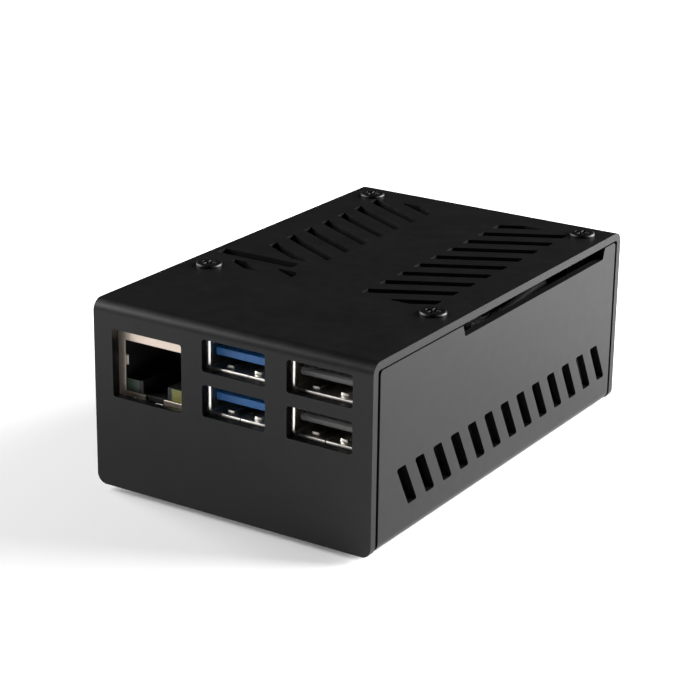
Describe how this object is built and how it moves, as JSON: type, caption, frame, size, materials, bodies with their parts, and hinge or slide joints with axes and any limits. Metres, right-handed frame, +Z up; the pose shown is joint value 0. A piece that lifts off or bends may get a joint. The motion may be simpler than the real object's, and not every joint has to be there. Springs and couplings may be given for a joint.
{
  "type": "single board computer",
  "caption": "Single board computer in a folded black steel case with slanted vents, network and USB sockets on one end, inner cooler and removable cover.",
  "frame": {"origin": "on the resting surface under the middle of the case", "axes": "+Z up, -Y out of the socket panel, +X out of the side beside the pin header"},
  "size_m": [0.0594, 0.093, 0.0373],
  "materials": {
    "case_coating": "satin black powder coat with a fine texture",
    "screw_steel": "black-nickel plated steel, bright at the worn rims",
    "standoff_nickel": "nickel plated brass, turned",
    "foot_rubber": "matt moulded rubber",
    "board_laminate": "green solder mask over glass laminate",
    "socket_steel": "tin plated sheet steel, satin",
    "black_plastic": "glass-filled black plastic",
    "blue_plastic": "moulded blue plastic",
    "grey_plastic": "moulded dark grey plastic",
    "contact_gold": "gold flash over nickel",
    "lens_plastic": "translucent clear plastic",
    "latch_plastic": "brown moulded plastic",
    "white_plastic": "moulded nylon",
    "card_plastic": "smooth black plastic",
    "chip_resin": "moulded epoxy",
    "lid_metal": "nickel plated lid",
    "ceramic_chips": "fired ceramic with tinned ends",
    "cooler_aluminium": "anodised, satin",
    "pad_silicone": "soft filled silicone",
    "spring_steel": "drawn steel wire",
    "blower_plastic": "moulded black plastic",
    "lead_sleeve": "flexible black sleeve over fine wires"
  },
  "bodies": {
    "case": {"base_screws": "screw_steel", "base_tray": "case_coating", "blower_cover": "blower_plastic", "blower_housing": "blower_plastic", "blower_shaft": "spring_steel", "camera_connector_1": "black_plastic", "camera_connector_2": "black_plastic", "card_socket": "socket_steel", "chip_passives": "ceramic_chips", "circuit_board": "board_laminate", "controller_chip": "chip_resin", "cover_screws": "screw_steel", "crystals": "lid_metal", "display_shells": "socket_steel", "edge_socket_tongues": "black_plastic", "expansion_connector": "black_plastic", "fan_lead": "lead_sleeve", "fan_plug": "white_plastic", "fan_socket": "white_plastic", "header_base": "black_plastic", "header_pins": "contact_gold", "heatsink": "cooler_aluminium", "inductors": "chip_resin", "lower_standoffs": "standoff_nickel", "memory_chip": "chip_resin", "network_contacts": "contact_gold", "network_insulator": "black_plastic", "network_lenses": "lens_plastic", "network_shell": "socket_steel", "power_button_body": "socket_steel", "power_over_network_base": "black_plastic", "power_over_network_pins": "contact_gold", "processor_lid": "lid_metal", "processor_package": "chip_resin", "push_pin_springs": "spring_steel", "push_pins": "white_plastic", "rubber_feet": "foot_rubber", "small_lead_sockets": "white_plastic", "status_led": "lens_plastic", "support_chips": "chip_resin", "thermal_pads": "pad_silicone", "top_cover": "case_coating", "upper_standoffs": "standoff_nickel", "usb2_contacts": "contact_gold", "usb2_insulator": "black_plastic", "usb2_shell": "socket_steel", "usb2_tongues": "grey_plastic", "usb3_contacts": "contact_gold", "usb3_insulator": "black_plastic", "usb3_shell": "socket_steel", "usb3_tongues": "blue_plastic", "usb_c_shell": "socket_steel", "wireless_can": "socket_steel"},
    "power_button": {"power_button_plunger": "black_plastic"},
    "impeller": {"blower_impeller": "blower_plastic"},
    "memory_card_body": {"memory_card": "card_plastic"},
    "camera_latch_1": {"camera_connector_1_latch": "latch_plastic"},
    "camera_latch_2": {"camera_connector_2_latch": "latch_plastic"},
    "expansion_latch": {"expansion_connector_latch": "latch_plastic"}
  },
  "joints": [
    {"name": "power_button_press", "type": "slide", "parent": "case", "child": "power_button", "axis": [0, -1, 0], "range_m": [0, 0.00025], "stiffness_N_per_m": 3000, "springref_m": -0.0001},
    {"name": "impeller_spin", "type": "hinge", "parent": "case", "child": "impeller", "pos_m": [0.0005, 0.0195, 0.027], "axis": [0, 0, 1], "continuous": true},
    {"name": "memory_card_slide", "type": "slide", "parent": "case", "child": "memory_card_body", "axis": [0, 1, 0], "range_m": [0, 0.015]},
    {"name": "camera_latch_1_lift", "type": "slide", "parent": "case", "child": "camera_latch_1", "axis": [0, 0, 1], "range_m": [0, 0.001]},
    {"name": "camera_latch_2_lift", "type": "slide", "parent": "case", "child": "camera_latch_2", "axis": [0, 0, 1], "range_m": [0, 0.001]},
    {"name": "expansion_latch_lift", "type": "slide", "parent": "case", "child": "expansion_latch", "axis": [0, 0, 1], "range_m": [0, 0.001]}
  ]
}
